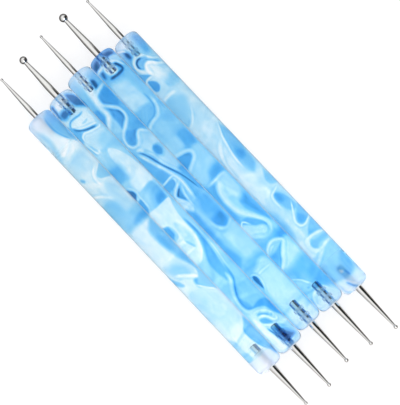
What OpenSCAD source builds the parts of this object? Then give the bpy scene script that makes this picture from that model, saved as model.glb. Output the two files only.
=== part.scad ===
// A row of five double-ended embossing styluses, in millimetres.
// Each stylus is a marbled acrylic rod with a turned steel point glued into a
// blind bore at each end. The styluses lie side by side along X on a surface
// at Z = 0. Stylus 1 is the one with the lowest Y and stylus 5 the highest.
// A stylus's left points look to -X and its right points to +X.

/* [Handles] */
// Diameter of a handle
handle_d = 8; // [7:0.1:12]
// Length of a handle between its end faces
handle_l = 95; // [60:1:140]
// Radius of the rounding round each end face
edge_r = 1.5; // [0.4:0.1:1.6]

/* [Row] */
// Gap between neighbouring handles
row_gap = 0.1; // [0.1:0.05:6]
// How far stylus 1 is pushed to the right of an even row
forward_1 = 0.6; // [-6:0.05:6]
// How far stylus 2 is pushed to the right of an even row
forward_2 = 0.3; // [-6:0.05:6]
// How far stylus 3 is pushed to the right of an even row
forward_3 = -0.95; // [-6:0.05:6]
// How far stylus 4 is pushed to the right of an even row
forward_4 = -0.55; // [-6:0.05:6]
// How far stylus 5 is pushed to the right of an even row
forward_5 = 0.6; // [-6:0.05:6]

/* [Balls] */
// Diameter of the ball on the left point of stylus 1
left_ball_1 = 0.8; // [0.6:0.1:1.5]
// Diameter of the ball on the left point of stylus 2
left_ball_2 = 2.2; // [1.2:0.1:3]
// Diameter of the ball on the left point of stylus 3
left_ball_3 = 0.8; // [0.6:0.1:1.5]
// Diameter of the ball on the left point of stylus 4
left_ball_4 = 2.4; // [1.2:0.1:3]
// Diameter of the ball on the left point of stylus 5
left_ball_5 = 0.8; // [0.6:0.1:1.5]
// Diameter of the ball on the right point of stylus 1
right_ball_1 = 1; // [0.8:0.1:2]
// Diameter of the ball on the right point of stylus 2
right_ball_2 = 1.1; // [0.8:0.1:2]
// Diameter of the ball on the right point of stylus 3
right_ball_3 = 1.2; // [0.8:0.1:2]
// Diameter of the ball on the right point of stylus 4
right_ball_4 = 1.1; // [0.8:0.1:2]
// Diameter of the ball on the right point of stylus 5
right_ball_5 = 1.2; // [0.8:0.1:2]

/* [Reaches] */
// How far the left point of stylus 1 stands out of its handle
left_reach_1 = 14.9; // [10:0.1:25]
// How far the left point of stylus 2 stands out of its handle
left_reach_2 = 15.3; // [10:0.1:25]
// How far the left point of stylus 3 stands out of its handle
left_reach_3 = 14.9; // [10:0.1:25]
// How far the left point of stylus 4 stands out of its handle
left_reach_4 = 15.8; // [10:0.1:25]
// How far the left point of stylus 5 stands out of its handle
left_reach_5 = 15; // [10:0.1:25]
// How far the right point of stylus 1 stands out of its handle
right_reach_1 = 14.3; // [10:0.1:25]
// How far the right point of stylus 2 stands out of its handle
right_reach_2 = 15.3; // [10:0.1:25]
// How far the right point of stylus 3 stands out of its handle
right_reach_3 = 14.9; // [10:0.1:25]
// How far the right point of stylus 4 stands out of its handle
right_reach_4 = 15.6; // [10:0.1:25]
// How far the right point of stylus 5 stands out of its handle
right_reach_5 = 15.8; // [10:0.1:25]

/* [Fine left points, styluses 1, 3 and 5] */
// Diameter of the shank
fine_shank_d = 1.5; // [1.3:0.05:2.2]
// Diameter of the neck behind the ball
fine_neck_d = 0.48; // [0.3:0.02:0.56]
// Length of the straight shank in front of the handle
fine_straight = 3.7; // [1:0.1:6]

/* [Broad left points, styluses 2 and 4] */
// Diameter of the shank
broad_shank_d = 2; // [1.6:0.05:3]
// Diameter of the neck behind the ball
broad_neck_d = 0.95; // [0.5:0.05:1.15]
// Length of the straight shank in front of the handle
broad_straight = 4.2; // [1:0.1:6]

/* [Right points] */
// Diameter of the shank
right_shank_d = 2; // [1.3:0.05:3]
// Diameter of the neck behind the ball
right_neck_d = 0.62; // [0.3:0.02:0.76]
// Length of the straight shank in front of the handle
right_straight = 1; // [0.6:0.1:6]

/* [Tangs, the stretch of a point inside its handle] */
// Length of a left tang
left_tang = 6.6; // [4:0.1:12]
// Length of a right tang
right_tang = 7.8; // [4:0.1:12]
// Chamfer on a tang's inner end
tang_chamfer = 0.25; // [0.1:0.05:0.4]
// Width of a ring groove that the adhesive locks into
groove_w = 0.9; // [0.6:0.05:1.2]
// Depth of a ring groove
groove_depth = 0.2; // [0.17:0.01:0.3]
// Distance from one ring groove to the next
groove_pitch = 2.3; // [1.8:0.1:4]

/* [Adhesive] */
// Thickness of the adhesive between a tang and its bore
film = 0.2; // [0.16:0.01:0.4]
// Length of the adhesive plug at the bottom of a bore
plug_l = 0.9; // [0.3:0.1:2]
// Height of the adhesive bead that stands out of a bore's mouth
bead_h = 0.25; // [0.1:0.05:0.4]
// Width of the bead round the shank on the end face
bead_w = 0.45; // [0.25:0.05:0.6]

/* [Hidden] */
stylus_count = 5;
forwards = [forward_1, forward_2, forward_3, forward_4, forward_5];
left_balls = [left_ball_1, left_ball_2, left_ball_3, left_ball_4, left_ball_5];
right_balls = [right_ball_1, right_ball_2, right_ball_3, right_ball_4, right_ball_5];
left_reaches = [left_reach_1, left_reach_2, left_reach_3, left_reach_4, left_reach_5];
right_reaches = [right_reach_1, right_reach_2, right_reach_3, right_reach_4, right_reach_5];
axis_z = handle_d / 2;
pitch = handle_d + row_gap;
// The middle of the whole row along X, from the furthest tips on each side.
low_x = min([for (i = [0 : stylus_count - 1]) forwards[i] - left_reaches[i]]) - handle_l / 2;
high_x = max([for (i = [0 : stylus_count - 1]) forwards[i] + right_reaches[i]]) + handle_l / 2;
row_mid_x = (low_x + high_x) / 2;
// How far a cutting shape reaches past what it cuts.
past = 1;

PIECES = ["handle", "left_point", "left_adhesive", "right_point", "right_adhesive"];

// Styluses 2 and 4 have the broad kind of left point.
function is_broad(n) = n % 2 == 0;
function left_shank_d(n) = is_broad(n) ? broad_shank_d : fine_shank_d;
function groove_count(tang) = floor((tang + bead_h - 2 * groove_w) / groove_pitch) + 1;

// Puts what is drawn along Z, with its mouth at Z = 0, at one end of stylus n.
module at_left_end(n)
    translate([forwards[n - 1] - row_mid_x - handle_l / 2, (n - (stylus_count + 1) / 2) * pitch, axis_z])
        rotate([0, -90, 0]) children();

module at_right_end(n)
    translate([forwards[n - 1] - row_mid_x + handle_l / 2, (n - (stylus_count + 1) / 2) * pitch, axis_z])
        rotate([0, 90, 0]) children();

// A steel point along Z. Its handle's end face is at Z = 0.
module point(shank_d, neck_d, straight, reach, ball_d, tang) {
    ball_z = reach - ball_d / 2;
    difference() {
        union() {
            translate([0, 0, -tang])
                cylinder(h = tang_chamfer, d1 = shank_d - 2 * tang_chamfer, d2 = shank_d, $fn = 64);
            translate([0, 0, tang_chamfer - tang])
                cylinder(h = tang - tang_chamfer + straight, d = shank_d, $fn = 64);
            translate([0, 0, straight])
                cylinder(h = ball_z - straight, d1 = shank_d, d2 = neck_d, $fn = 64);
            translate([0, 0, ball_z]) sphere(d = ball_d, $fn = 48);
        }
        for (k = [0 : groove_count(tang) - 1])
            translate([0, 0, bead_h - groove_w - k * groove_pitch]) difference() {
                cylinder(h = groove_w, d = shank_d + past, $fn = 64);
                translate([0, 0, -past])
                    cylinder(h = groove_w + 2 * past, d = shank_d - 2 * groove_depth, $fn = 64);
            }
    }
}

module left_steel(n)
    if (is_broad(n))
        point(broad_shank_d, broad_neck_d, broad_straight, left_reaches[n - 1], left_balls[n - 1], left_tang);
    else
        point(fine_shank_d, fine_neck_d, fine_straight, left_reaches[n - 1], left_balls[n - 1], left_tang);

module right_steel(n)
    point(right_shank_d, right_neck_d, right_straight, right_reaches[n - 1], right_balls[n - 1], right_tang);

// The blind bore for a tang: the space that the tang and its adhesive share.
module bore(shank_d, tang, open_by = 0)
    translate([0, 0, -tang - plug_l])
        cylinder(h = tang + plug_l + open_by, d = shank_d + 2 * film, $fn = 64);

// The cured adhesive: the bore and the bead at its mouth, less the steel.
module adhesive(shank_d, tang)
    difference() {
        union() {
            bore(shank_d, tang);
            cylinder(h = bead_h, d1 = shank_d + 2 * bead_w, d2 = shank_d, $fn = 64);
        }
        children();
    }

// A rod along Z with its length centred on Z = 0 and its ends rounded over.
module rod() {
    body_l = handle_l - 2 * edge_r;
    rotate_extrude($fn = 128) {
        translate([0, -handle_l / 2]) square([handle_d / 2 - edge_r, handle_l]);
        translate([0, -body_l / 2]) square([handle_d / 2, body_l]);
        for (end = [-1, 1])
            translate([handle_d / 2 - edge_r, end * body_l / 2]) circle(r = edge_r, $fn = 64);
    }
}

module stylus_handle(n)
    color([0.42, 0.76, 0.98]) difference() {
        at_left_end(n) translate([0, 0, -handle_l / 2]) rod();
        at_left_end(n) bore(left_shank_d(n), left_tang, past);
        at_right_end(n) bore(right_shank_d, right_tang, past);
    }

module stylus_left_point(n)
    color([0.78, 0.78, 0.8]) at_left_end(n) left_steel(n);

module stylus_right_point(n)
    color([0.78, 0.78, 0.8]) at_right_end(n) right_steel(n);

module stylus_left_adhesive(n)
    color([0.9, 0.95, 0.97]) at_left_end(n) adhesive(left_shank_d(n), left_tang) left_steel(n);

module stylus_right_adhesive(n)
    color([0.9, 0.95, 0.97]) at_right_end(n) adhesive(right_shank_d, right_tang) right_steel(n);

for (n = [1 : stylus_count]) {
    stylus_handle(n);
    stylus_left_point(n);
    stylus_left_adhesive(n);
    stylus_right_point(n);
    stylus_right_adhesive(n);
}
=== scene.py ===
"""Looks of a row of five double-ended embossing styluses: marbled acrylic rods with plated steel points."""

import math

import bmesh
import bpy
import numpy as np
from bpy.props import FloatProperty, FloatVectorProperty, IntProperty, PointerProperty
from bpy.types import Operator, Panel, PropertyGroup
from mathutils import Matrix, Vector


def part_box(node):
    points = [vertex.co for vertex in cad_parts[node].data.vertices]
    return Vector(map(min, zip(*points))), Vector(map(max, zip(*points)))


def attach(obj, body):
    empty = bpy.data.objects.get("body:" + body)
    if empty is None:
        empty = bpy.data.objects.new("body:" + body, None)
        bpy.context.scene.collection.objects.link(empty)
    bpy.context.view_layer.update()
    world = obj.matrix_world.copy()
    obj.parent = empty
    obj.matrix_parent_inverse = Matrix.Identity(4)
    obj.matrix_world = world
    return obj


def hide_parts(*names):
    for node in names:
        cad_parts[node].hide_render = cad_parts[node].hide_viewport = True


bl_info = {
    "name": "Embossing styluses",
    "version": (1, 0, 0),
    "blender": (4, 5, 0),
    "location": "View3D > Sidebar > Styluses",
    "description": "Builds the marbled handles, the steel points, the adhesive and the stage",
    "category": "Object",
}

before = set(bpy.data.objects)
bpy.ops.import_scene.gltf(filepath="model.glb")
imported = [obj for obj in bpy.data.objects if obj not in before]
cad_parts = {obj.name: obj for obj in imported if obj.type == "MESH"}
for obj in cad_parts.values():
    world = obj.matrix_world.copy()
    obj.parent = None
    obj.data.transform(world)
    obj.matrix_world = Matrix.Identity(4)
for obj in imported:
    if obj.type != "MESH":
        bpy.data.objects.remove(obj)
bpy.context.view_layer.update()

MM = 0.001
STYLUSES = (1, 2, 3, 4, 5)
ENDS = [(n, side) for n in STYLUSES for side in ("left", "right")]
# The photo's size in pixels.
PHOTO_W = 400
PHOTO_H = 405


def rod_size():
    """Length and radius of a handle, in millimetres; all five are alike."""
    low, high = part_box("stylus_1_handle")
    return (high.x - low.x) / MM, (high.z - low.z) / 2 / MM


ROD_L, ROD_R = rod_size()

# The points and the adhesive

# Ball diameters in millimetres, from stylus 1 to stylus 5.
BALLS = {"left": (0.8, 2.2, 0.8, 2.4, 0.8), "right": (1.0, 1.1, 1.2, 1.1, 1.2)}
# Shank diameter, neck diameter and length of the straight shank, in millimetres.
FINE = {"shank": 1.5, "neck": 0.48, "straight": 3.7}
BROAD = {"shank": 2.0, "neck": 0.95, "straight": 4.2}
RIGHT = {"shank": 2.0, "neck": 0.62, "straight": 1.0}
# The fillet between cone and ball: its reach back along the cone in ball radii, and the degrees of the
# ball that it covers.
FILLET_REACH = 0.3
FILLET_TURN = 14
# The tang, in millimetres.
TANG_CHAMFER = 0.25
GROOVE_W = 0.9
GROOVE_DEPTH = 0.2
GROOVE_PITCH = 2.3
# The adhesive, in millimetres. Its milkiness fades over a short way beside each groove.
GROOVE_FADE = 0.15
FILM = 0.2
PLUG_L = 0.9
BEAD_H = 0.25
BEAD_W = 0.45
# The bead's curve is pulled to a corner this far out of the face and off the shank.
BEAD_CORNER = (0.05, 0.08)
# The adhesive reaches this far into the acrylic and the steel, so that no two faces lie in one place.
GRIP = 0.02
# The bead's milkiness fades in over this stretch inside the handle's mouth.
MOUTH_FADE = 0.08
# The adhesive's inner wall starts this far past the tang's inner end, where the steel hides it.
HIDDEN_END = 0.4
BEAD_MILK = 1.0
GROOVE_MILK = 0.5

# How fine the meshes are

# How many straight stretches each curve is made of.
EDGE_PARTS = 12
CONE_PARTS = 8
FILLET_PARTS = 5
BALL_PARTS = 18
BEAD_PARTS = 6
# Edges that turn by more than this many degrees stay sharp.
SHARP_TURN = 35
# Vertices that lie closer to the axis than this, in metres, are one pole.
POLE_R = 1e-7

# Where the marbling lies

# Where the photo looks at the rods from: this much to their right points and to stylus 1.
VIEW_LEAN_X = 0.14
VIEW_TURN = math.radians(6.1)
# What is drawn at least this far across, in millimetres, goes on past the rod's edge, to this turn
# in radians from its top.
RIM = 3.75
RIM_TURN = 1.62
# The furthest across that a turn is worked out for, as a share of the rod's radius.
WIDEST = 0.9999
# How far each handle's marbling moves along and across to lie where the photo has it.
SHIFTS = {1: (0.45, -0.4), 2: (0.38, -0.1), 3: (0.42, 0.0), 4: (0.15, 0.0), 5: (0.35, -0.2)}
# The height over which the marbling that shows gives way to the underside's, and how much of its own
# marbling the underside shows.
UNDERSIDE_FADE = 1.2
UNDERSIDE_SHARE = 0.2

# The acrylic

# How clear each handle's acrylic is; the palest two are the milkiest.
CLEARNESS = {1: 0.8, 2: 0.93, 3: 0.93, 4: 0.93, 5: 0.8}
# How much paler each handle's tones are than laid out; milky acrylic passes less of the light from below.
PALER = {1: 0.08, 2: 0.0, 3: -0.06, 4: -0.04, 5: 0.04}
# Stretches of a handle, in millimetres from its left end, whose milky acrylic blurs what lies inside.
HAZY = {1: ((-3, 13), (88.6, 98)), 5: ((82.6, 98),)}
HAZE_FADE = 3.0
# The sawn end faces are less polished than the barrel.
SAWN_HAZE = 0.4
# How far the lilac reaches from each end.
LILAC_L = 7.0

# Tones of the acrylic, from the deepest blue to white at 1.
INK = -1.4
NAVY = -1.0
DEEP = -0.6
BLUE = -0.4
AZURE = -0.2
SKY = 0.05
CYAN = 0.32
PALE = 0.58
MILK = 0.78
WHITE = 0.95
# The tint at each share of the way from the deepest tone to white, as a screen colour. Light passes
# the tint twice, so it is deeper here than it looks.
TINTS = (
    (0.0, (3, 34, 84)),
    (0.167, (6, 60, 134)),
    (0.317, (26, 120, 217)),
    (0.458, (50, 150, 232)),
    (0.583, (90, 178, 238)),
    (0.708, (116, 195, 241)),
    (0.833, (166, 217, 245)),
    (0.942, (210, 237, 248)),
    (1.0, (243, 249, 252)),
)
# The most lilac that a tint gets, and how steeply that falls off towards the deep tones.
LILAC_SHARE = 0.4
LILAC_POWER = 1.8
# Roughness where the acrylic is clear and where it is hazy.
ACRYLIC_ROUGHNESS = (0.03, 0.8)
# Pearly acrylic bends what lies behind it less than clear acrylic does, and mirrors less.
ACRYLIC_IOR = 1.25
ACRYLIC_SPECULAR = 0.25

# The steel, the adhesive and the noise on all materials

# Noise patterns: scale, detail, distortion and how many times finer they are along the rods.
BROAD_CLOUDS = (210, 2, 1.2, 0.6)
FINE_CLOUDS = (620, 3, 0.8, 0.5)
SMEARS = (900, 2, 0, 0.3)
TURNING_MARKS = (4000, 1, 0, 6)
GLUE_WISPS = (1500, 2, 0.5, 1)
# The middle of a noise pattern's values, and how strong the fine clouds are beside the broad ones.
NOISE_MEAN = 0.5
FINE_SHARE = 0.45
# How strongly the turning marks show, and their depth.
MARK_STRENGTH = 0.05
MARK_DEPTH = 0.01 * MM
# Roughness of the milky adhesive, how much the thin film covers, and how the adhesive lets light by.
GLUE_ROUGHNESS = 0.4
FILM_COVER = 0.04
GLUE_CLEARNESS = 0.4
GLUE_IOR = 1.2

# The stage

# The floor: half its width in metres, how far it lies under the rods, and its roughness.
FLOOR_HALF = 3
FLOOR_DROP = 0.02 * MM
FLOOR_ROUGHNESS = 0.6
# The mirrored floor turns from its left colour to its right one between these two places on X.
FLOOR_TURN = (-20 * MM, 20 * MM)
# How much the floor is lifted towards white for the camera.
FLOOR_LIFT = 0.74

# A band on the dome with one of these for a limit has no limit there.
BELOW = (-1.2, -1.1)
BEYOND = (1.1, 1.2)
# The flags are on the far side of the rods: they fade in over these places on Y of the unit dome.
FLAG_Y = (0.0, 0.06)
# The flags that bare steel mirrors: where each fades in and out on X of the unit dome, and the
# elevations in degrees where its top fades out. One stands low all along the rods, and narrow ones
# over the points reach higher.
FLAGS = (
    ((-0.215, -0.19), BEYOND, (54, 62)),
    ((-0.16, -0.13), (0.04, 0.08), (68, 76)),
    ((-0.1, -0.065), (0.04, 0.08), (82, 89)),
)
# The flag that the tangs mirror inside the acrylic: its two sides on X, its foot and its top.
TANG_FLAG = ((-0.22, -0.18), (-0.08, -0.04), (10, 20), (72, 80))
# Mirrors see the dome turn grey below these elevations, by the first share to the left of these
# places on X and by the second to their right.
HORIZON = (15, 48)
HORIZON_X = (-0.16, -0.12)
HORIZON_GREY = (0.65, 0.3)
FLAG_DARKNESS = 0.98

# The lamp's width and place, in metres.
LAMP_W = 0.3
LAMP_PLACE = Vector((0.45, -0.12, 0.5))
# What the camera looks at, in millimetres.
AIM = Vector((1.263, 0.487, 4))
SENSOR_W = 36
CLIP_START = 0.01
CLIP_END = 10

# The marbling

# How far the edge of a pool or a vein fades, in millimetres.
CRISP = 0.3
FIRM = 0.5
SOFT = 0.85
CLOUDY = 1.4
# How many fades past its route a pool and a vein are worked out.
POOL_MARGIN = 1.2
VEIN_MARGIN = 2.6
# How fast a vein widens over its first point, and its width at its tips as a share of its full width.
TAPER_RATE = 0.9
TIP_WIDTH = 0.55
# The acrylic is this much deeper in a thin line along each side of a pale vein. Its place and its
# spread are in widths of the vein.
VEIN_EDGE = 0.16
EDGE_OFFSET = 1.7
EDGE_SPREAD = 0.6
# Keeps a step of no length from dividing by zero.
TINY = 1e-12


def pool(tone, fade, *points):
    """A closed patch of one tone."""
    return {"closed": True, "tone": tone, "fade": fade, "points": points}


def vein(tone, fade, *points):
    """A thin line of one tone."""
    return {"closed": False, "tone": tone, "fade": fade, "points": points}


# The tone of each handle under its pools and veins.
GROUND = {1: 0.72, 2: 0.35, 3: 0.1, 4: 0.05, 5: 0.45}

# The marbling on the side that the photo shows. A point is the distance from the
# handle's left end and the distance across it as seen, in millimetres.
# A few pools and veins by the ends are painted reflection, not marbling; each is marked where it stands.
MARBLING_AND_PAINTED_REFLECTIONS = {
    1: (
        pool(AZURE, SOFT, (0.6, 3.9), (0.8, 2), (3, 1.5), (6, 1.6), (8.6, 2.4), (11.6, 3.9)),
        vein(DEEP, CRISP, (0.9, 1.8), (3, 1.4), (6, 1.5), (8.6, 2.3), (11, 3.5)),
        pool(WHITE, SOFT, (0.4, -2), (0.4, 1), (6, 0.9), (11, 2.4), (14, 1), (13, -1.6), (8, -1.4),
             (3, -2)),
        vein(CYAN, SOFT, (2, -3), (5, -2.2), (8, -2), (12, -2.7), (15, -3.4)),
        pool(PALE, CLOUDY, (15, 3), (14.4, -2.6), (20, -3.2), (21, 0.6), (20, 3.4)),
        pool(SKY, CRISP, (20.8, 3.9), (22, 2.2), (23.4, 1.3), (24.6, 2.6), (25.2, 3.9)),
        vein(SKY, CRISP, (23.3, 1.6), (24.2, 2.4), (24.8, 3.6)),
        vein(WHITE, CRISP, (20.2, 2.8), (21.6, 1.2), (23.4, 0.5), (26, 0.6)),
        vein(AZURE, FIRM, (20.6, -3), (21.4, -2.5), (22.2, -2)),
        pool(PALE, FIRM, (26, 3.6), (26.4, 1), (31, 0.8), (36, 1.6), (36, 3.6)),
        vein(WHITE, FIRM, (26, -3.9), (27.6, -2.4), (29.2, -0.8), (31, 0.4)),
        vein(PALE, CRISP, (27, -3.9), (28.4, -2.8), (29.8, -1.4), (31.4, 0)),
        pool(SKY, CLOUDY, (31.6, 0.4), (30.8, -3.4), (40.4, -3.6), (40.4, -0.6), (37.6, 0.4)),
        pool(SKY, CLOUDY, (36, 3.9), (36.4, -1), (39.2, -3), (41, -2), (41.2, 1.6), (41, 3.9)),
        pool(BLUE, SOFT, (38.4, 3.9), (38.8, 1), (40.2, -0.4), (41, 1.6), (41, 3.9)),
        pool(MILK, CLOUDY, (41.4, 3.8), (41.2, -2.6), (44, -1.4), (50, -1.8), (54, -3), (56, 0),
             (54, 1.6), (48, 1), (44, 1.2), (42.4, 2.6)),
        pool(AZURE, SOFT, (42, 3.4), (43.6, 1.7), (45.4, 1.2), (48.4, 1.3), (52.2, 1.8), (56.4, 2.8),
             (60, 3.9), (43, 3.9)),
        pool(BLUE, SOFT, (46, 2.6), (47.6, 1.6), (50.6, 1.9), (52, 2.9), (48, 3.2)),
        pool(PALE, FIRM, (40.8, -3.4), (42.6, -2.4), (44.4, -1.8), (46.4, -1.8), (49.2, -3.3),
             (45, -3.6)),
        pool(CYAN, CLOUDY, (54.4, -2.6), (56, 1), (59, 2), (60.4, 0.8), (58.2, -1.6), (56, -2.9)),
        vein(WHITE, FIRM, (57.8, -2.2), (59.2, -0.6), (60.6, 1), (62, 2.4), (63.6, 3.4)),
        pool(AZURE, FIRM, (57, -3.6), (59, -2.9), (60.4, -2.2), (61.8, -1.8), (61.6, -2.6), (60, -3.5)),
        pool(BLUE, FIRM, (62.6, 1), (62.5, 2.1), (63.6, 2.6), (65.2, 2.2), (65, 1)),
        pool(SKY, FIRM, (59, 3.9), (62, 3.2), (63.8, 1.4), (66, 2.4), (68, 3.9)),
        vein(WHITE, CRISP, (63.6, 0.6), (65.2, 1.6), (67, 2.8), (68.6, 3.8)),
        pool(PALE, SOFT, (65, -3), (65, 0.6), (69, 3.4), (79, 3.4), (80, -3)),
        vein(AZURE, CRISP, (67, -3.4), (71, -3.6), (75, -3.4)),
        pool(MILK, SOFT, (79.6, 2.4), (80, -2), (86, -1.6), (90, -1.4), (90, 2), (83, 0.8)),
        pool(AZURE, FIRM, (79.6, 3.9), (81.2, 2.3), (82.8, 1.7), (85.2, 1.9), (88, 2.5), (92.6, 3.9)),
        vein(BLUE, CRISP, (81, 2.4), (82.6, 1.7), (85.2, 1.8), (88, 2.4), (91, 3.4)),
        pool(CYAN, FIRM, (80.6, -3.8), (82, -2.5), (86, -2.2), (89.8, -2.1), (89.7, -3.9)),
        pool(SKY, FIRM, (86.6, -3.8), (86.8, -2.4), (89.7, -2.2), (89.6, -3.8)),
        pool(WHITE, CRISP, (90.5, 3.2), (90.2, 0), (90, -3.8), (95, -3.8), (95, 3.4)),
    ),
    2: (
        pool(PALE, SOFT, (0, 3), (0, -3.9), (8, -3.9), (8, 3.9)),
        # The two navy pools and the navy vein by the left end are painted reflection: the dark that the
        # rounded rim shows.
        pool(NAVY, SOFT, (0.4, 2), (1.4, 3.4), (4, 3.9), (7.2, 3.9), (5.6, 2.4), (3.4, 1.5),
             (1.4, 1.5)),
        pool(WHITE, FIRM, (0.3, -0.4), (0.3, 1.2), (2.2, 1.1), (3, -1), (2.8, -2.6), (1.2, -2.5)),
        vein(NAVY, SOFT, (0.4, -2.4), (1.2, -3.2), (2.8, -3.3), (4.2, -3.5), (5.4, -2.8)),
        pool(NAVY, SOFT, (3.4, -1.2), (5.6, -0.8), (5.9, -3), (3.8, -3.1)),
        pool(MILK, FIRM, (7.8, 2.8), (7.7, -1.8), (8.8, -2.7), (10, -1.6), (11.2, 1.6), (11.8, 2.9),
             (10, 3.4)),
        vein(CYAN, CRISP, (9.6, 2.2), (9.9, 0.8), (9.7, -0.4)),
        pool(BLUE, FIRM, (7.4, -3.9), (8.6, -3.2), (10.4, -2.6), (12, -1.8), (12.6, -2.8), (14, -3.3),
             (14, -3.9)),
        pool(PALE, SOFT, (13.4, 3), (12.6, 0.2), (12.2, -1.6), (13.4, -2.7), (16, -2.8), (18.8, -2.2),
             (19, 0), (18, 2.9)),
        pool(CYAN, SOFT, (15.4, 2.9), (16, 0.4), (18.4, -0.4), (18.6, 2.9)),
        pool(SKY, SOFT, (18.6, 3.8), (18.9, -0.8), (20, -0.6), (19.6, 1), (21.4, 3), (23, 3.8)),
        vein(DEEP, CRISP, (7.2, 2.4), (7.45, 1), (7.2, -0.8), (7.3, -2.2), (8.2, -3.1), (9.4, -3.2)),
        vein(NAVY, FIRM, (12.9, 2.8), (12.5, 1.4), (11.9, -0.2), (11, -1.6), (10, -2.6), (8.8, -3.1)),
        vein(MILK, CRISP, (12.3, 3.4), (11.8, 2), (11.2, 0.2), (10.4, -1.4), (9.2, -2.5)),
        vein(MILK, CRISP, (12.6, 3.5), (13.5, 3), (13.2, 1.4), (12.7, -0.2), (12.2, -1.4),
             (12.8, -2.6), (14.4, -2.9)),
        vein(SKY, CRISP, (15.6, -2.8), (17.2, -2.5), (18.6, -2)),
        vein(AZURE, CRISP, (14.2, -3.8), (16.4, -3.5), (18.6, -3.2), (19.5, -2.6)),
        vein(MILK, CRISP, (14, -3.3), (16.6, -3.1), (18.6, -2.7), (19, -2), (18, -1.6)),
        vein(PALE, CRISP, (18.8, -1.4), (19.8, -2), (19.9, -3), (18.8, -3.8)),
        pool(CYAN, SOFT, (19.8, -1.2), (25.2, -1.2), (25.2, -3.9), (19.8, -3.9)),
        pool(MILK, CRISP, (19.7, 0.4), (21, 1.7), (23.4, 2.8), (27.6, 3.7), (33, 3.8), (34.6, 3.2),
             (34.4, -1.8), (30.4, -1.9), (29.6, -0.8), (25, -0.8), (21.6, -0.6)),
        vein(PALE, CRISP, (26.6, 2.8), (28.6, 1.8), (29.8, 0.4), (30.2, -1)),
        pool(BLUE, CLOUDY, (25, -0.9), (29.4, -0.8), (30.4, -2.6), (30.6, -3.9), (25, -3.9)),
        pool(CYAN, SOFT, (30, -2), (34.6, -2), (34.2, -2.6), (32.4, -3), (31, -3.9), (30, -3.9)),
        pool(AZURE, FIRM, (34.8, 3.2), (34.7, -0.4), (36, -1.6), (40.6, -1.6), (40.8, 1), (40.7, 3.1)),
        pool(DEEP, SOFT, (38.6, 2.9), (38.8, 0.6), (40.6, 0.4), (40.7, 2.9)),
        pool(CYAN, CLOUDY, (34.8, -0.6), (37.4, 0.2), (40.4, -0.6), (40.6, -2.2), (36, -2.2)),
        pool(WHITE, CRISP, (41.2, 3.4), (41, 0), (41.2, -3.9), (46.2, -3.9), (47, -2.2), (51, -2),
             (52.6, -3.9), (60.4, -3.9), (60.6, -2.6), (59.2, -0.6), (57.2, 0.9), (53, 1.9), (47, 2.2),
             (43.6, 2.8)),
        pool(PALE, FIRM, (47.4, -0.6), (49.4, 0.8), (53.6, 0.9), (56.6, -0.3), (54.4, -1.2),
             (51, -1.4)),
        vein(SKY, CRISP, (52.6, -1.7), (54.4, -1.1), (56.6, -0.4)),
        pool(NAVY, CRISP, (31.4, -3.9), (32.8, -3), (34, -2.6), (35, -3), (36.2, -3.9)),
        pool(DEEP, CRISP, (36.2, -2.7), (38.4, -2.8), (40.2, -3.2), (41, -3.9), (37.4, -3.9)),
        pool(DEEP, FIRM, (46.6, -3.9), (46.9, -2.8), (48.4, -2.35), (50.2, -2.7), (50.8, -3.9)),
        vein(PALE, CRISP, (30.8, -3.6), (32.4, -2.6), (34, -2.1), (35.6, -2.4), (38.6, -2.4),
             (40.4, -2.7)),
        pool(CYAN, SOFT, (42, 3.9), (44, 2.9), (50, 2.6), (57, 3), (64, 2.6), (68, 1.8), (64, 3.2),
             (58, 3.9)),
        pool(BLUE, FIRM, (54, 2.2), (57.4, 1), (60, -0.2), (63, -1.2), (66.4, -1.1), (70, 0),
             (67.4, 1.2), (64, 1.7), (60, 2.3), (57, 2.6)),
        vein(DEEP, FIRM, (47.6, 2.3), (50.6, 2.55), (54, 2.6), (57.4, 2.3), (60, 2), (63, 1.5)),
        vein(PALE, CRISP, (48, 3.1), (53, 3.3), (58, 3.3), (62, 2.9), (66, 2.2), (69, 1.6)),
        pool(CYAN, SOFT, (61, -1.9), (66, -1.9), (72, -2), (72, -3.9), (61.6, -3.9)),
        pool(SKY, SOFT, (65, 3.8), (66.6, 2.4), (69.6, 1.5), (72.4, -0.4), (75.4, -1.8), (78.4, -1.6),
             (79.4, 0.6), (80.4, 2.8), (79, 3.8)),
        pool(BLUE, FIRM, (75, -1.9), (77, -0.9), (79, -0.6), (78.8, -1.6), (77, -2.1)),
        pool(DEEP, FIRM, (79.2, 0.2), (79, 2.4), (81, 3.9), (87, 3.9), (84, 2.9), (81.4, 2.2),
             (80.2, 0.8)),
        vein(DEEP, FIRM, (64.6, 2), (67.4, 1.6), (69.6, 1.1), (71.6, -0.1), (73.6, -1.3), (76, -2),
             (78.2, -1.9), (79.4, -0.9), (80, 0.8), (81.2, 2.3), (83.4, 3.1), (86, 3.5)),
        vein(PALE, FIRM, (66.6, 0.6), (69.4, 0.2), (71.6, -1.2), (74, -2.4), (77, -2.9), (79.4, -2.4),
             (80.4, -0.6), (81, 0.9)),
        pool(PALE, SOFT, (79.8, -2.4), (80.6, 0.6), (82, 2), (85, 2.8), (90, 3.8), (94.6, 3.4),
             (94.8, -3.4), (84, -3.4)),
        pool(WHITE, FIRM, (82, -2.9), (84, -2), (88, -1.9), (93.4, -1.1), (94, -2), (92.6, -3.2),
             (86, -3.4)),
        vein(MILK, CRISP, (80.8, -1.8), (81, -0.2), (82, 1.2), (83.6, 2.2), (85, 2.4)),
        vein(BLUE, CRISP, (81.8, -1.5), (82, -0.4), (83, 0.8), (84.4, 1.7)),
        vein(AZURE, FIRM, (83.8, 1.6), (84.6, 2)),
        vein(WHITE, CRISP, (82.6, -1.6), (82.8, -0.4), (84, 0.7), (85.6, 1.4), (86, 2.2), (85, 2.6)),
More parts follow.
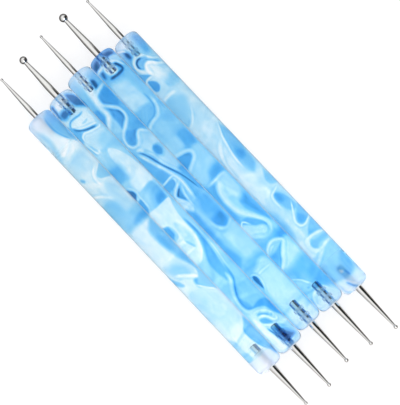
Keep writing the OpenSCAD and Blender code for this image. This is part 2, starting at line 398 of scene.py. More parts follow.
        pool(BLUE, CRISP, (83.2, -1.6), (83.5, -0.4), (84.8, 0.4), (86, 0.7), (85.2, -0.8),
             (84.2, -1.6)),
        vein(WHITE, CRISP, (84.6, -1.9), (86, -0.6), (87.2, 0.9), (88.8, 2.1), (90.4, 3.2)),
        vein(SKY, CRISP, (86.6, 0.4), (88, 1.7), (89.8, 2.9)),
        pool(NAVY, CLOUDY, (87.4, -0.2), (93, -0.2), (92.6, 3.3), (90.4, 2.6)),
        vein(NAVY, CRISP, (86, -1.7), (88, -1.3), (90.2, -0.9), (92.6, -0.5)),
        vein(CYAN, CRISP, (92.8, 3.2), (93.4, 1), (94.2, -0.8), (93.8, -2.4)),
    ),
    3: (
        pool(PALE, CLOUDY, (-0.5, 3.9), (-0.5, -3.9), (7, -3.9), (7, 3.9)),
        pool(AZURE, CLOUDY, (1.6, 3.8), (1.8, 1.8), (3.6, 1.4), (6.4, 1.2), (7, 3.8)),
        pool(INK, SOFT, (3.6, 1.6), (4.4, 2.4), (6.2, 2.1), (6.4, 1.1), (4.8, 0.9)),
        pool(WHITE, SOFT, (1, -0.2), (2.4, 0.9), (6.6, 0.6), (7.8, -0.6), (6, -1), (2, -0.9)),
        pool(SKY, CLOUDY, (1, -2.2), (5, -1.6), (9, -2), (12, -2.6), (13, -3.9), (2, -3.9)),
        pool(DEEP, FIRM, (2.4, -3.8), (7, -3.6), (8.4, -3.9), (2.4, -4)),
        pool(DEEP, SOFT, (7.6, 3.6), (8, 1), (9, -0.2), (11.4, -0.2), (13.6, 1.8), (14, 3.6)),
        pool(AZURE, SOFT, (13.6, 3.8), (14.6, 2.6), (18.6, 2.4), (20.6, 0), (21, 3.8)),
        pool(DEEP, FIRM, (11.8, -0.7), (13.6, 0.8), (15.4, 1.7), (17.6, 1.5), (18.8, 0), (19.6, -1.2),
             (16, -1), (13.6, -1)),
        pool(CYAN, SOFT, (14.6, -1.3), (19.6, -1.3), (21.6, -3), (20, -3.9), (16.4, -3.6)),
        pool(BLUE, FIRM, (11.4, -2.2), (14.4, -2.3), (16.6, -3.9), (11, -3.9)),
        pool(BLUE, SOFT, (20.4, 3.8), (20.6, -0.4), (22, -2.2), (24.6, -2.8), (25.4, -1.4), (24.2, 0),
             (22.8, 1.6), (23.6, 3.8)),
        pool(DEEP, SOFT, (21.8, 0.8), (22.2, -1), (23.8, -2.2), (25, -1.6), (23.8, 0.2), (22.6, 1.4)),
        vein(NAVY, CRISP, (14.2, 1.2), (15.6, 1.7), (17.2, 1.7), (18.6, 0.8)),
        vein(DEEP, CRISP, (11.4, -0.7), (12.6, 0), (13.4, 0.6)),
        pool(PALE, FIRM, (25.6, 3.9), (24, 2.4), (24.4, 1.2), (26.2, -0.4), (27, -1.8), (28.4, -0.2),
             (31, 0.6), (29, 1.6), (28.8, 3), (30, 3.9)),
        pool(DEEP, FIRM, (28.9, 2), (29.6, 1), (31.6, 1.2), (32.2, 2.2), (31, 3.2), (29.6, 3)),
        vein(MILK, FIRM, (6.2, 3.8), (6.9, 2.2), (7.4, 0.6), (8.3, -0.6), (10.4, -0.9), (12, 0),
             (14, 1.7), (16, 2.3), (17.9, 1.9), (19.3, 0.4), (20.5, -1.4), (22, -2.8), (24, -3.2),
             (25.5, -2.5), (25.9, -1.1), (25.1, 0.1), (23.6, 1), (23.1, 2.1), (24.2, 3.2), (25.4, 3.9)),
        vein(WHITE, SOFT, (3.4, -0.9), (7, -0.9), (9.4, -1.3), (11.4, -1.6), (13.6, -1.4), (15, -2.1),
             (16.2, -3.2), (18, -3.9)),
        vein(CYAN, CRISP, (0.4, -1.6), (1.2, -2.3), (2.6, -1.8), (4, -1.3)),
        pool(PALE, SOFT, (31.6, 0.6), (35, 1), (39, 2.2), (38, 3.9), (31, 3.9), (32.8, 2.4)),
        pool(BLUE, SOFT, (38, 3.6), (38.6, 2.4), (42, 2.8), (47, 3.4), (46, 3.9), (40, 3.9)),
        pool(AZURE, SOFT, (40, 2), (43, 0.6), (50, 0.8), (50, 3), (44, 2.6)),
        vein(NAVY, CRISP, (27.4, -2.5), (29, -1.6), (31, -0.9), (34, -0.2), (36.4, 0.7), (38.4, 1.5),
             (40.6, 2.2), (43.6, 2.8), (46.6, 3.2)),
        vein(PALE, CRISP, (28.4, -0.8), (31, 0.2), (34, 0.6), (37, 1.7), (40, 2.9)),
        vein(MILK, FIRM, (26.6, -2.8), (27.4, -1.6), (28.6, -0.9)),
        pool(AZURE, SOFT, (27, -3.2), (31, -2), (35, -1.2), (35, -3.9), (27, -3.9)),
        vein(MILK, FIRM, (27.4, -3.2), (30, -2.3), (33.4, -1.2), (36.4, -0.2), (39, 0.5), (41.8, 0.9),
             (45, 0.6), (48, 0.3)),
        pool(BLUE, FIRM, (35, -1.4), (37, -0.6), (38.3, -0.9), (38.4, -3.4), (35.4, -3.6)),
        pool(BLUE, CRISP, (39.3, -0.8), (40.3, -0.6), (41.3, -1.6), (41.6, -3.9), (39.4, -3.9)),
        pool(DEEP, CRISP, (41.4, -0.4), (43.4, -1.2), (46.6, -1.7), (45.4, -2.4), (44, -3),
             (42.8, -2.2)),
        vein(NAVY, CRISP, (41.4, -0.2), (42.4, -1.2), (43.4, -2.3), (44.2, -2.8)),
        pool(MILK, CRISP, (43.6, -3.9), (45.4, -2.9), (47.4, -2.1), (48.9, -2.1), (49.3, -2.9),
             (48, -3.9)),
        vein(MILK, CRISP, (38.9, 0.5), (38.6, -0.8), (38.8, -2.6), (39, -3.9)),
        vein(PALE, CRISP, (39, -0.5), (40, -0.2), (41, -0.6)),
        vein(MILK, FIRM, (40.6, 0.4), (41.6, -0.8), (42.4, -2.3), (43.6, -3.4), (45.2, -2.9),
             (47.2, -1.9), (48.9, -1.9), (49.6, -2.6), (49.2, -3.6)),
        vein(PALE, CRISP, (42, 0.2), (44.4, -0.8), (47, -1.2), (50, -1.2)),
        pool(AZURE, SOFT, (49, 3.2), (50, -0.2), (56, -0.7), (58.6, 0.8), (58.2, 2.6), (56, 3.4)),
        pool(DEEP, SOFT, (54.6, 3), (55, 0), (57, -0.4), (58.7, 1), (58, 2.6), (56.6, 3.2)),
        vein(PALE, FIRM, (53, -1.3), (56.4, -1.1), (58.8, 0.2), (59.4, 1.6), (58.8, 3), (57.6, 3.8)),
        pool(CYAN, FIRM, (49.8, -1.2), (56, -1.2), (62, -1.8), (56, -2.1), (50.4, -1.9)),
        pool(BLUE, SOFT, (50, -2.6), (56, -2.6), (63, -2.6), (68.6, -2), (68.6, -3.9), (49.6, -3.9)),
        pool(PALE, SOFT, (59.8, 3.8), (60, 0), (61, -1.2), (66, -1), (70, -0.4), (70.4, 3.8)),
        pool(AZURE, CLOUDY, (70.2, 3.5), (70.4, -2.6), (72, -3.6), (73, -1), (73, 3.3)),
        pool(PALE, SOFT, (73.4, 3.4), (73.4, -1.4), (75, -1.8), (80, -3), (87, -3.4), (94, -3.2),
             (95, 0), (94, 3.4)),
        vein(MILK, CRISP, (75, 3), (74.8, 0), (75, -1.6)),
        pool(NAVY, FIRM, (74.2, -2.8), (75, -2.1), (76.8, -2.3), (78.8, -2.9), (77, -3.3), (75, -3.4)),
        vein(PALE, CRISP, (73.8, -3.6), (74, -2.6), (75, -1.9), (76.8, -1.9), (78.8, -2.6),
             (80.6, -3.5)),
        vein(AZURE, CRISP, (77, -3.8), (79.6, -3.8)),
        pool(MILK, SOFT, (93, 2.8), (93.2, -2.8), (95, -3), (95, 3)),
    ),
    4: (
        pool(AZURE, CLOUDY, (0, 3.9), (0, -3.9), (9, -3.9), (9, 3.9)),
        # These two ink pools are painted reflection: the dark that the rounded rim shows at the left end.
        pool(INK, CLOUDY, (0.4, 0.9), (0.5, 2.6), (1.6, 3.5), (2.4, 2.8), (1.8, 1.2)),
        pool(INK, CLOUDY, (0.5, -1.8), (1.2, -1.4), (2.7, -2.4), (2.9, -3.6), (1.4, -3.7)),
        pool(MILK, FIRM, (0.1, -0.6), (0.5, 0.5), (2.6, 1), (3.3, 0.2), (2.2, -0.6)),
        pool(CYAN, FIRM, (2.6, 3.3), (2.2, 1.6), (3.4, 1.2), (5, 3), (4.6, 3.8)),
        vein(MILK, FIRM, (3.7, -3.9), (3.2, -2.4), (2.9, -0.8), (3.1, 0.8), (4.2, 2.2), (5.6, 3.1),
             (7, 3.6)),
        # The ink arc, the navy line under it and the white pool are painted reflection: the tang's white
        # highlight with dark edges.
        vein(INK, FIRM, (4, 1.3), (5, 2), (6.4, 2.4), (7.2, 2.2), (7.4, 0.6), (7.2, -1.2), (7, -2.4)),
        vein(NAVY, SOFT, (3.8, -2.2), (5, -3), (6.6, -3)),
        pool(WHITE, FIRM, (3.6, -1.6), (3.4, 0.4), (4.6, 1.2), (6.4, 1.2), (6.7, -0.4), (5.8, -1.8)),
        pool(PALE, CLOUDY, (9, -3.5), (9.4, 0), (11, 1.5), (18, 1.6), (19.4, 0), (19.6, -3.6)),
        pool(PALE, CLOUDY, (9.6, -3.4), (10.4, -1.4), (12, -0.6), (16, -1), (17.6, -2.8), (14, -3.6)),
        pool(SKY, SOFT, (9, 1.8), (9, 3.8), (30, 3.8), (27, 2.2), (20, 2.2)),
        pool(AZURE, SOFT, (19, 1.2), (18.6, -3.9), (23.6, -3.9), (23.1, -1.4), (22, 0.4), (20.6, 1.5)),
        pool(SKY, CLOUDY, (23.6, 2), (24.4, -3.9), (31, -3.9), (31, 2)),
        vein(BLUE, CRISP, (15.4, 1.8), (18.4, 1.9), (20.6, 1.5), (22.2, 0.3), (22.9, -1.2), (23, -2.6),
             (23.8, -3.9)),
        vein(PALE, FIRM, (17, 2.6), (20, 2.5), (22, 1.8), (23.4, 0.4), (23.7, -1.6), (24.2, -3),
             (25.2, -3.9)),
        vein(AZURE, CRISP, (16, 3.5), (20, 3.5), (24, 3.5)),
        pool(BLUE, SOFT, (31, 0.6), (31, 3.3), (36.2, 3.4), (36, 1.4), (35.2, 0)),
        pool(CYAN, SOFT, (31, -3.9), (31, -0.2), (35, -0.6), (35.2, -3.9)),
        pool(CYAN, SOFT, (37, 3.4), (36.6, 1), (38, 0.6), (40, -1.6), (41, -3.9), (45, -3.9), (46, -1),
             (43.6, 0), (43.4, 3.4)),
        pool(DEEP, CRISP, (36, -3.9), (36.2, -2), (36.9, -0.5), (37.8, -0.2), (38.6, -1), (39.4, -2.8),
             (40, -3.9)),
        vein(BLUE, CRISP, (36.4, -0.9), (37.2, -0.3), (38.2, -0.5), (39, -1.8), (39.8, -3.6)),
        vein(PALE, FIRM, (34.8, -3.9), (35.4, -2), (36.2, -0.2), (37.2, 0.5), (38.6, 0.1),
             (39.6, -1.4), (40.6, -3.2), (41.4, -3.9)),
        pool(DEEP, CLOUDY, (44.2, 3.4), (44.4, 0.6), (45.4, -0.6), (46.7, -0.8), (47.1, 1.4),
             (47.2, 3.5)),
        vein(MILK, FIRM, (47.8, 3.5), (47.4, 1.8), (47.5, 0.4), (47.6, -1.4), (48, -3.8)),
        pool(PALE, CLOUDY, (47.8, 3.3), (47.9, 0.6), (49.4, -0.9), (52, -1.9), (55, -1.4), (55.6, 1),
             (55, 3.3)),
        pool(BLUE, SOFT, (48, -3.9), (48.2, -1), (49.4, -1.5), (52, -2.6), (57, -2.8), (60.6, -3),
             (60.4, -3.9)),
        vein(AZURE, CRISP, (48, -0.3), (49.4, -1.3), (51, -2.2), (54, -2.75), (58, -2.7)),
        pool(DEEP, CLOUDY, (56, 3.4), (56.2, 1), (58, 0.6), (60.6, 1.4), (63.4, 2.6), (65, 3.6)),
        vein(AZURE, CRISP, (56.6, 0.5), (59, 1), (61.4, 1.9), (63.6, 2.8)),
        pool(CYAN, FIRM, (54, 0.4), (58, 0.3), (62, 1.6), (65.6, 3), (68.6, 2.8), (65, 1.8),
             (61.6, 0.2), (58, -1.6), (54, -1.6)),
        vein(MILK, SOFT, (48.2, 0.7), (49.4, -0.6), (51.4, -1.7), (54, -2.1), (57.4, -1.8), (60, -0.7),
             (62.6, 0.8), (65.2, 2.2), (67.6, 2.6)),
        pool(BLUE, FIRM, (60.8, -2.4), (61, -1), (62.6, 0.3), (64.6, 1.4), (66.2, 1.8), (64.4, -0.6),
             (62.6, -2.4), (61.2, -3.2)),
        pool(PALE, FIRM, (61.4, -3.8), (62.6, -2.4), (64.4, -0.8), (65.4, 0.9), (67, 1.2), (68, 0),
             (67.4, -1.8), (65.4, -3.8)),
        vein(BLUE, CRISP, (62.4, -0.2), (64, 0.8), (65.2, 1.5), (66.6, 1.7)),
        vein(PALE, FIRM, (64.8, 2.3), (67, 2.3), (68.5, 1.1), (68.4, -0.8), (67, -2.6), (65.6, -3.9)),
        vein(MILK, CRISP, (66, -3.9), (63, -3.9), (61.3, -3.2), (61.6, -2.4), (63.4, -1.4)),
        pool(AZURE, SOFT, (68.8, 3.8), (69, -3.9), (70.6, -3.9), (70.6, 0), (72, 2.4), (72, 3.8)),
        pool(DEEP, SOFT, (69.4, 3.8), (69.6, 2.2), (70.8, 1.6), (71.6, 2.6), (71.8, 3.8)),
        pool(CYAN, FIRM, (71.2, 0.6), (70.8, -1.6), (72.4, -3.9), (73.6, -3.9), (73, -1.6),
             (72.6, 0.4), (72, 1.2)),
        pool(BLUE, FIRM, (72.9, 0.2), (73.4, -2), (74, -3.9), (77.6, -3.9), (75.6, -2.2), (73.8, -0.6)),
        pool(PALE, CLOUDY, (72.4, 2.6), (74, 0.2), (76, -1.8), (78.4, -3.6), (79.4, -2), (78.4, 1),
             (78.2, 3.4), (73, 3.5)),
        vein(BLUE, CRISP, (72.3, 1.4), (73.2, 0.1), (74.8, -1.4), (76.6, -2.8), (78.2, -3.9)),
        vein(MILK, FIRM, (73.6, -3.9), (71.8, -3.2), (70.7, -1.6), (70.6, -0.1), (71.4, 1.3),
             (72.4, 2), (73.4, 1.1), (75, -0.5), (77, -2.1), (79.2, -3.8)),
        vein(PALE, CRISP, (71.6, -0.6), (71.9, -2), (73, -3.4)),
        pool(AZURE, CLOUDY, (79.4, 3.9), (79.4, -1), (80.6, -3.4), (83, -2.6), (86, -0.6), (88.4, 0.8),
             (90, 3.2), (90, 3.9)),
        pool(BLUE, SOFT, (83, 3.4), (83.6, 1), (87, 1.1), (89, 2.4), (89, 3.6)),
        pool(CYAN, SOFT, (82, -3.9), (84.2, -2.1), (86.4, -0.9), (88, -0.6), (89, -2.4), (90, -3.9)),
        vein(PALE, CRISP, (81.4, -3.9), (83.2, -2.6), (85.4, -1.2), (87.4, -0.2)),
        vein(AZURE, FIRM, (86.4, -1.7), (87.2, -2.1)),
        pool(PALE, SOFT, (89.6, 1.4), (89, -0.8), (90.4, -3.4), (95, -3.6), (95, 3.6), (92, 3.6)),
        vein(MILK, FIRM, (91.4, 2.4), (89.7, 1.4), (88.9, 0), (89, -1.6), (90.2, -3), (92.2, -3.5),
             (94, -2.6), (94.8, -1)),
        vein(CYAN, CRISP, (93, -3.9), (93.4, -3), (94.2, -2)),
    ),
    5: (
        pool(BLUE, CLOUDY, (0.5, 3.4), (3, 3.9), (7, 3.6), (7, 1.8), (3, 1.5), (0.8, 2)),
        pool(AZURE, CLOUDY, (1, -3.9), (6, -3.9), (11, -3.9), (9, -3), (6, -1.6), (3, -2.4)),
        pool(INK, SOFT, (2.4, -1.9), (3.4, -1.5), (5, -1.6), (5.2, -2.3), (4, -2.7), (2.7, -2.5)),
        pool(MILK, CLOUDY, (0.2, -0.9), (0.2, 0.6), (2.5, 0.5), (2.6, -1.2), (1.2, -1.9)),
        pool(PALE, CLOUDY, (9.5, 0), (10, 1.2), (12.5, 3.6), (17, 3.9), (24, 3.9), (33, 3.9),
             (40, 3.4), (40, 0), (35, -3.9), (31, -3.9), (27, 0.5), (20, -1), (17, -0.4), (13, -0.2)),
        pool(SKY, CLOUDY, (15.6, 3.9), (18.6, 3.9), (18.6, 0.6), (17.3, -0.4), (16.2, 1)),
        pool(MILK, SOFT, (9.6, 0.2), (10.2, 1.4), (11.6, 2.4), (14, 1.4), (14.5, -0.6), (12, -0.9),
             (10.2, -0.6)),
        pool(BLUE, CRISP, (9.2, -4), (10.6, -2.9), (12.5, -1.2), (12.9, -2.4), (12.9, -4)),
        pool(PALE, FIRM, (13, -0.9), (13.1, -3.6), (18.6, -3.7), (20.6, -3.6), (20.4, -0.4), (17, 0.2)),
        pool(DEEP, CRISP, (13.2, -3.1), (13.8, -2), (15, -1.25), (16.4, -1.4), (17.2, -2.5),
             (16.6, -3.3), (15, -3.4)),
        pool(SKY, CLOUDY, (20.8, -3.5), (20.8, -1), (22.4, 1.4), (25, 1.2), (27.8, -0.9), (29.6, -2.4),
             (30.2, -3.3), (26, -3.7)),
        vein(AZURE, CRISP, (28, -1.2), (29.3, -2.5), (29.6, -3.3), (28, -3.6), (24, -3.7)),
        vein(MILK, FIRM, (20.6, 1.2), (20, -0.4), (20, -2.2), (20.4, -3.6)),
        vein(MILK, CRISP, (26.2, 1), (28.6, -0.4), (30.4, -2.4), (31, -3.8)),
        pool(AZURE, CRISP, (6.8, 0.8), (6.5, -0.8), (7.4, -2.2), (9, -2.4), (10, -1.6), (9.4, -0.2),
             (8.8, 0.9), (7.8, 1.4)),
        vein(INK, CRISP, (7.1, 0.2), (6.8, -0.8), (7.3, -1.8), (8.4, -2.2), (9.5, -1.9)),
        vein(DEEP, CRISP, (7.9, 0.7), (9.2, 1.6), (10.4, 2.7), (11.8, 3.6)),
        vein(MILK, FIRM, (7.6, 1.5), (6.3, 0.4), (6, -1.1), (6.8, -2.4), (8.4, -2.9), (10, -2.3),
             (11.4, -1.1), (12.8, -0.4)),
        vein(MILK, CRISP, (7.2, 1.4), (8.6, 2.2), (9.6, 3.1), (10.6, 3.8)),
        vein(WHITE, FIRM, (12.8, 3.8), (11.2, 2.7), (9.7, 1.4), (9.2, 0.3), (9.8, -0.5), (11.4, -0.8),
             (13, -0.6)),
        vein(MILK, CRISP, (13, -0.7), (12.7, -2), (13.1, -3.5), (15, -3.8)),
        vein(MILK, CRISP, (1, -3.8), (2, -2.6), (3.2, -1.7)),
        pool(PALE, CLOUDY, (31, -3.6), (31, 1.4), (36, 1.6), (40, 0.6), (48, -0.4), (60, -0.4),
             (60, -3.2), (50, -3.2), (38, -3.4)),
        pool(AZURE, SOFT, (36, 3.4), (40, 1.7), (44, 0.8), (47, 0.4), (50, 0.6), (52, 1.6), (50, 3.2),
             (46, 3.7), (40, 3.8)),
        pool(DEEP, SOFT, (43.6, 1), (46.2, 0.7), (46.8, 2.2), (45.6, 3.2), (44.2, 2.4)),
        vein(AZURE, CRISP, (34.6, 3.6), (38, 2.4), (41, 1.5), (45, 0.7), (49, 0.35)),
        vein(MILK, CRISP, (33.4, 3.7), (37.6, 1.9), (41, 0.9), (45, 0.1), (50, -0.1)),
        vein(MILK, FIRM, (38.6, 0.8), (40.2, -0.9), (42.4, -2.3), (45.6, -3.3), (50, -3.5), (57, -3.2)),
        pool(MILK, SOFT, (50, -2.8), (52, 0.8), (58, 1.2), (59.6, 0.2), (60, -3), (55, -3.4)),
        pool(PALE, SOFT, (50.5, 3.8), (52, 1.2), (57, 0.9), (60, 2.6), (61, 3.8)),
        pool(SKY, FIRM, (52.8, 3.7), (54.4, 2.5), (56, 2), (57.6, 2.6), (58, 3.8)),
        pool(AZURE, FIRM, (59.9, 1.2), (60.8, 2.4), (63, 3.3), (66, 3.6), (67, 2.8), (66.2, 1.2),
             (64, 0.4), (61.2, 0.4)),
        pool(DEEP, SOFT, (60.2, 1.2), (61, 2), (62.6, 2), (62.8, 1), (61.4, 0.6)),
        pool(PALE, FIRM, (60.2, -0.2), (64, -0.2), (67.6, 0.4), (71, -0.4), (75, -0.8), (75, -3),
             (68, -2), (60, -2.4)),
        pool(AZURE, FIRM, (66.4, 3.9), (67, 2.9), (68.4, 1.6), (69.8, 0.6), (71, 0.8), (71.4, 2),
             (70.4, 3.9)),
        pool(DEEP, SOFT, (68.4, 2), (69.6, 1), (70.8, 1), (71, 2.4), (69.8, 3)),
        vein(MILK, CRISP, (64.4, 3.1), (66, 2.2), (68, 0.9), (69.6, 0.05), (71.4, 0.3), (71.9, 1.6),
             (71.4, 3), (70.6, 3.9)),
        vein(MILK, CRISP, (58.8, 3.4), (59.4, 1.6), (60.2, 0.1), (62.4, -0.3), (65, -0.1)),
        pool(AZURE, CLOUDY, (63, -3.9), (64.4, -2.6), (68, -2.4), (72, -2.8), (74, -3.9)),
        pool(AZURE, CRISP, (71.8, 3.8), (72.6, 2.2), (74.4, 0.4), (75.2, -0.4), (75.3, 1.6),
             (76.3, 3.8)),
        pool(MILK, FIRM, (75.6, -1.2), (75, -3.4), (79.8, -3.6), (80, -1)),
        pool(AZURE, FIRM, (77.3, 3.8), (76.9, 1), (76.4, -0.2), (77.2, -1.3), (78.6, -1.2), (79, -0.2),
             (78.6, 1.2), (78.5, 3.8)),
        vein(MILK, FIRM, (76.6, 3.8), (75.7, 1.8), (75.4, -0.2), (76.2, -1.6), (78, -2), (79.6, -1.2),
             (80, 0.6), (79.6, 2.4), (79.9, 3.8)),
        pool(SKY, SOFT, (80.6, 3.9), (80.5, 0.6), (81.8, -1.6), (83, -3.9), (88.6, -3.9), (90.4, -2),
             (90.6, 1.2), (88.6, 3.6)),
        pool(AZURE, SOFT, (84, 3.7), (84.8, 2.2), (88, 1.3), (90.6, 1.3), (89, 3.2)),
        # The white dot and the short deep line after it are a painted glint of the tang, with its dark edge.
        pool(WHITE, CRISP, (87.6, -0.4), (88.2, 0.3), (88.9, 0.1), (88.6, -0.6)),
        vein(DEEP, CRISP, (88.4, 0.7), (89.6, 0.9), (91, 1.1)),
        vein(PALE, FIRM, (80.4, 1), (81, -1), (82, -2.6), (83.2, -3.8)),
        pool(MILK, SOFT, (90.8, 3.9), (91, 1), (90.4, -1.6), (89.4, -3.9), (95, -3.9), (95, 3.9)),
        vein(BLUE, CRISP, (91.2, -1.4), (92.4, -0.9), (93.6, -0.3), (94.6, 0.6)),
        vein(CYAN, CRISP, (91, -3.2), (93, -3.2), (94.2, -2.4), (94.7, -1.4)),
        vein(WHITE, CRISP, (91, -0.8), (92.6, 0), (94, 1)),
    ),
}


# How the marbling and its painted reflections are worked out


def smoothstep(x):
    x = np.clip(x, 0, 1)
    return x * x * (3 - 2 * x)


def bell(x):
    return np.exp(-(x**2))


def srgb(red, green, blue):
    """A screen colour from 0 to 255 as a linear colour."""
    screen = (c / 255 for c in (red, green, blue))
    return tuple(c / 12.92 if c < 0.04045 else ((c + 0.055) / 1.055) ** 2.4 for c in screen) + (1,)


def unrolled(across):
    """Distance round the rod from its top, for a distance across it."""
    if abs(across) > RIM:
        return math.copysign(RIM_TURN * ROD_R, across)
    return ROD_R * math.asin(across / ROD_R)


def smooth_route(points, closed, parts=6):
    """A curve through the points, as an array of (along, round)."""
    p = np.array([(u, unrolled(v)) for u, v in points], float)
    if closed:
        q = np.vstack([p[-1], p, p[0], p[1]])
    else:
        q = np.vstack([2 * p[0] - p[1], p, 2 * p[-1] - p[-2]])
    t = np.arange(parts)[:, None] / parts
    curve = []
    for a, b, c, d in zip(q, q[1:], q[2:], q[3:]):
        cubic = 3 * b - a - 3 * c + d
        curve.append(0.5 * (2 * b + (c - a) * t + (2 * a - 5 * b + 4 * c - d) * t**2 + cubic * t**3))
    curve = np.vstack(curve)
    return np.vstack([curve, curve[:1] if closed else q[-2:-1]])


def distance_to(route, x, y):
    """Distance to the route, and how far along the route its nearest point is, from 0 to 1."""
    best = np.full(x.shape, np.inf)
    along = np.zeros(x.shape)
    for i, (a, b) in enumerate(zip(route, route[1:])):
        d = b - a
        t = np.clip(((x - a[0]) * d[0] + (y - a[1]) * d[1]) / (d @ d + TINY), 0, 1)
        r = np.hypot(x - a[0] - t * d[0], y - a[1] - t * d[1])
        near = r < best
        best = np.where(near, r, best)
        along = np.where(near, (i + t) / (len(route) - 1), along)
    return best, along


def inside(route, x, y):
    """True where a line to the right crosses the closed route an odd number of times."""
    crossings = np.zeros(x.shape, int)
    for a, b in zip(route, route[1:]):
        if a[1] == b[1]:
            continue
        at = a[0] + (y - a[1]) * (b[0] - a[0]) / (b[1] - a[1])
        crossings += ((a[1] <= y) != (b[1] <= y)) & (x < at)
    return crossings % 2 == 1


def marbling_and_reflection_tone(n, u, s):
    """Tone of handle n's marbling and painted reflections at u along it and s round it, both arrays in
    millimetres.
    """
    tone = np.full(u.shape, GROUND[n])
    for shape in MARBLING_AND_PAINTED_REFLECTIONS[n]:
        closed, fade = shape["closed"], shape["fade"]
        route = smooth_route(shape["points"], closed)
        margin = fade * (POOL_MARGIN if closed else VEIN_MARGIN)
        low, high = route.min(0) - margin, route.max(0) + margin
        pick = (u > low[0]) & (u < high[0]) & (s > low[1]) & (s < high[1])
        if not pick.any():
            continue
        x, y = u[pick], s[pick]
        gap, along = distance_to(route, x, y)
        if closed:
            depth = np.where(inside(route, x, y), gap, -gap)
            mask = smoothstep(0.5 + depth / (2 * fade))
        else:
            points_in = np.minimum(along, 1 - along) * len(shape["points"])
            taper = np.sqrt(smoothstep(points_in * TAPER_RATE))
            width = fade * (TIP_WIDTH + (1 - TIP_WIDTH) * taper)
            if shape["tone"] >= PALE:
                beside = (gap - EDGE_OFFSET * width) / (EDGE_SPREAD * width)
                tone[pick] -= VEIN_EDGE * bell(beside) * taper
            mask = bell(gap / width) * taper
        tone[pick] += (shape["tone"] - tone[pick]) * mask
    return tone


def handle_tone(n, x, y, z):
    """Tone of handle n at points measured from the middle of its left end, in millimetres."""
    along_shift, across_shift = SHIFTS[n]
    across = y * math.cos(VIEW_TURN) + z * math.sin(VIEW_TURN) - across_shift
    height = z * math.cos(VIEW_TURN) - y * math.sin(VIEW_TURN)
    s = ROD_R * np.arcsin(np.clip(across / ROD_R, -WIDEST, WIDEST))
    shown = marbling_and_reflection_tone(n, x - VIEW_LEAN_X * height - along_shift, s)
    # The underside is the next handle's marbling with its painted reflections, paler and turned end for end.
    other = marbling_and_reflection_tone(n % len(STYLUSES) + 1, ROD_L - x, s)
    hidden = UNDERSIDE_SHARE * other + (1 - UNDERSIDE_SHARE) * WHITE
    return hidden + (shown - hidden) * smoothstep(1 + height / UNDERSIDE_FADE) + PALER[n]


def handle_haze(n, x):
    """How milky handle n is at x from its left end: 0 where it is clear and 1 where it blurs its tang."""
    haze = np.zeros(x.shape)
    for start, end in HAZY.get(n, ()):
        within = smoothstep((x - start) / HAZE_FADE) * smoothstep((end - x) / HAZE_FADE)
        haze = np.maximum(haze, within**2)
    return haze


def near_end(x, reach):
    """1 at both ends of a handle, and less further in until 0 at the reach; x is from its left end."""
    return smoothstep(1 - np.minimum(x, ROD_L - x) / reach)


# Meshes


def mesh_object(name, bm):
    """Turns a finished bmesh into a smooth-shaded object at the origin."""
    mesh = bpy.data.meshes.new(name)
    bm.to_mesh(mesh)
    bm.free()
    mesh.polygons.foreach_set("use_smooth", [True] * len(mesh.polygons))
    mesh.set_sharp_from_angle(angle=math.radians(SHARP_TURN))
    obj = bpy.data.objects.new(name, mesh)
    bpy.context.collection.objects.link(obj)
    return obj


def lathe(profile, steps):
    """Spins (x, radius) points in metres round the X axis, and closes the poles."""
    bm = bmesh.new()
    verts = [bm.verts.new((x, 0, r)) for x, r in profile]
    edges = [bm.edges.new(pair) for pair in zip(verts, verts[1:])]
    bmesh.ops.spin(bm, geom=verts + edges, cent=(0, 0, 0), axis=(1, 0, 0), angle=2 * math.pi,
                   steps=steps, use_merge=True)
    poles = [v for v in bm.verts if math.hypot(v.co.y, v.co.z) < POLE_R]
    bmesh.ops.remove_doubles(bm, verts=poles, dist=POLE_R)
    bmesh.ops.recalc_face_normals(bm, faces=bm.faces)
    return bm


def moved(bm, vec):
    """A moved copy of a bmesh."""
    copy = bm.copy()
    bmesh.ops.translate(copy, verts=copy.verts, vec=vec)
    return copy


def arc(cx, cr, radius, start, end, count):
    """Points on a circle in the (x, radius) plane, with angles in degrees from the X axis."""
    turns = [math.radians(start + (end - start) * i / count) for i in range(count + 1)]
    return [(cx + radius * math.cos(a), max(0.0, cr + radius * math.sin(a))) for a in turns]


def spread(start, end, count):
    """Points between two profile points, without the two ends."""
    return [tuple(Vector(start).lerp(Vector(end), i / count)) for i in range(1, count)]


def bent(start, corner, end, count):
    """A curve from start to end that is pulled towards the corner, with both ends."""
    a, b, c = Vector(start), Vector(corner), Vector(end)
    turns = [i / count for i in range(count + 1)]
    return [tuple(a * (1 - t) ** 2 + b * 2 * t * (1 - t) + c * t**2) for t in turns]


def places(obj, origin):
    """The object's vertices as rows of an array, in millimetres from the origin."""
    flat = np.empty(len(obj.data.vertices) * 3)
    obj.data.vertices.foreach_get("co", flat)
    return (flat.reshape(-1, 3) - np.array(origin)) / MM


def set_attribute(obj, name, values):
    """Gives every vertex of the mesh its own number."""
    numbers = obj.data.attributes.new(name, "FLOAT", "POINT")
    numbers.data.foreach_set("value", np.asarray(values, np.float32))


def node_name(n, piece):
    return f"stylus_{n}_{piece}"


def point_kind(n, side):
    if side == "right":
        return RIGHT
    return FINE if n % 2 else BROAD


def end_face(n, side):
    """Middle of a handle's end face, and 1 where its point looks to +X and -1 where it looks to -X."""
    low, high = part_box(node_name(n, "handle"))
    middle = (low + high) / 2
    if side == "right":
        return Vector((high.x, middle.y, middle.z)), 1
    return Vector((low.x, middle.y, middle.z)), -1


def reach_and_tang(n, side):
    """How far a steel point stands out of its handle and how far it goes in, in millimetres."""
    low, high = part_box(node_name(n, f"{side}_point"))
    face, out = end_face(n, side)
    to_left, to_right = (face.x - low.x) / MM, (high.x - face.x) / MM
    return (to_right, to_left) if out > 0 else (to_left, to_right)


